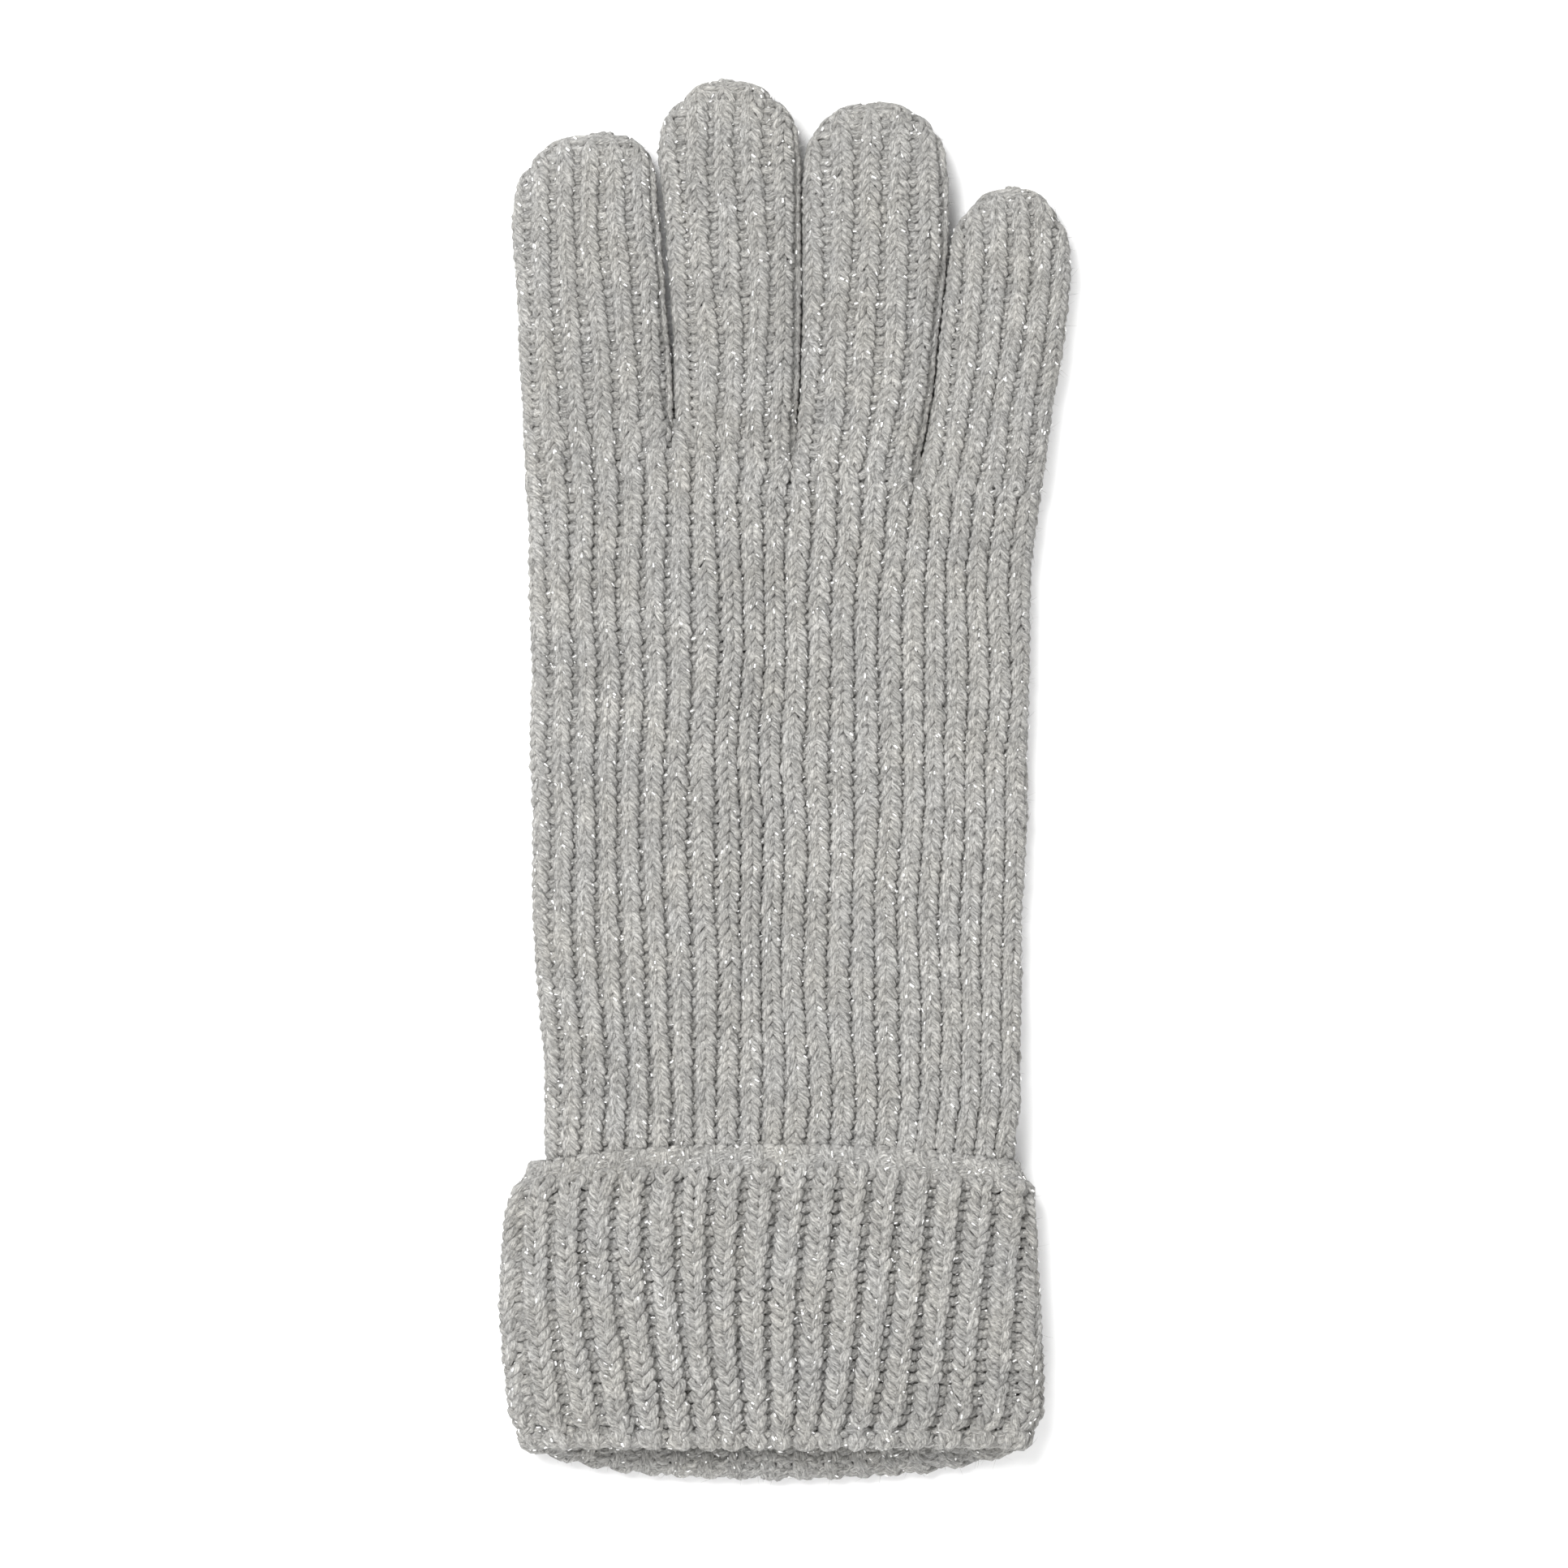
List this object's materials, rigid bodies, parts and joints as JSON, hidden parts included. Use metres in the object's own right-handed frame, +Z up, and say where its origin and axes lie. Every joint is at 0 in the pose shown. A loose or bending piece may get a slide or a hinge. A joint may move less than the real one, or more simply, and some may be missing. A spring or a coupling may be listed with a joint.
{
  "type": "knitted glove",
  "caption": "Ribbed wool glove for the right hand with metallic thread, lying palm down, thumb tucked under the palm, cuff turned up; it folds at the knuckles, mid-fingers, thumb and wrist",
  "frame": {"origin": "middle of the glove's outline, on the surface that it lies on", "axes": "+Y runs from the cuff to the fingertips, +X from the forefinger side to the little finger side, +Z up out of the back of the hand"},
  "size_m": [0.1088, 0.2687, 0.0192],
  "materials": {
    "hand_rib": "pale warm grey wool in 1x1 rib with a fine silver metallic thread, slightly fuzzy",
    "cuff_rib": "the same yarn in a wider, looser rib with deep grooves",
    "edge_knit": "the same yarn in a narrow band of flattened stitches"
  },
  "bodies": {
    "hand": {"hand_shell": "hand_rib", "thumb_gusset": "hand_rib", "index_base": "hand_rib", "middle_base": "hand_rib", "ring_base": "hand_rib", "little_base": "hand_rib"},
    "cuff": {"wrist_rib": "cuff_rib", "cuff_turnup": "cuff_rib", "cuff_edge": "edge_knit", "cuff_fold": "cuff_rib"},
    "index_lower": {"index_lower": "hand_rib"},
    "index_tip": {"index_tip": "hand_rib"},
    "middle_lower": {"middle_lower": "hand_rib"},
    "middle_tip": {"middle_tip": "hand_rib"},
    "ring_lower": {"ring_lower": "hand_rib"},
    "ring_tip": {"ring_tip": "hand_rib"},
    "little_lower": {"little_lower": "hand_rib"},
    "little_tip": {"little_tip": "hand_rib"},
    "thumb_root": {"thumb_root": "hand_rib"},
    "thumb_tip": {"thumb_tip": "hand_rib"}
  },
  "joints": [
    {"name": "wrist_bend", "type": "hinge", "parent": "hand", "child": "cuff", "pos_m": [0, -0.062, 0.0094], "axis": [1, 0, 0], "range_deg": [-40, 40]},
    {"name": "index_knuckle", "type": "hinge", "parent": "hand", "child": "index_lower", "pos_m": [-0.03613, 0.0755, 0.0052], "axis": [-1, 0, 0], "range_deg": [-20, 90]},
    {"name": "index_middle", "type": "hinge", "parent": "index_lower", "child": "index_tip", "pos_m": [-0.03715, 0.097, 0.0052], "axis": [-1, 0, 0], "range_deg": [-10, 100]},
    {"name": "middle_knuckle", "type": "hinge", "parent": "hand", "child": "middle_lower", "pos_m": [-0.00968, 0.0755, 0.0052], "axis": [-1, 0, 0], "range_deg": [-20, 90]},
    {"name": "middle_middle", "type": "hinge", "parent": "middle_lower", "child": "middle_tip", "pos_m": [-0.01014, 0.102, 0.0052], "axis": [-1, 0, 0], "range_deg": [-10, 100]},
    {"name": "ring_knuckle", "type": "hinge", "parent": "hand", "child": "ring_lower", "pos_m": [0.01463, 0.0695, 0.0052], "axis": [-1, 0, 0], "range_deg": [-20, 90]},
    {"name": "ring_middle", "type": "hinge", "parent": "ring_lower", "child": "ring_tip", "pos_m": [0.01651, 0.099, 0.0052], "axis": [-1, 0, 0], "range_deg": [-10, 100]},
    {"name": "little_knuckle", "type": "hinge", "parent": "hand", "child": "little_lower", "pos_m": [0.03846, 0.067, 0.0052], "axis": [-1, 0, 0], "range_deg": [-20, 90]},
    {"name": "little_middle", "type": "hinge", "parent": "little_lower", "child": "little_tip", "pos_m": [0.04176, 0.092, 0.0052], "axis": [-1, 0, 0], "range_deg": [-10, 100]},
    {"name": "thumb_swing", "type": "hinge", "parent": "hand", "child": "thumb_root", "pos_m": [-0.03, -0.014, 0.0043], "axis": [0, 0, 1], "range_deg": [0, 45]},
    {"name": "thumb_bend", "type": "hinge", "parent": "thumb_root", "child": "thumb_tip", "pos_m": [-0.03, 0.012, 0.0043], "axis": [-1, 0, 0], "range_deg": [0, 80]}
  ]
}
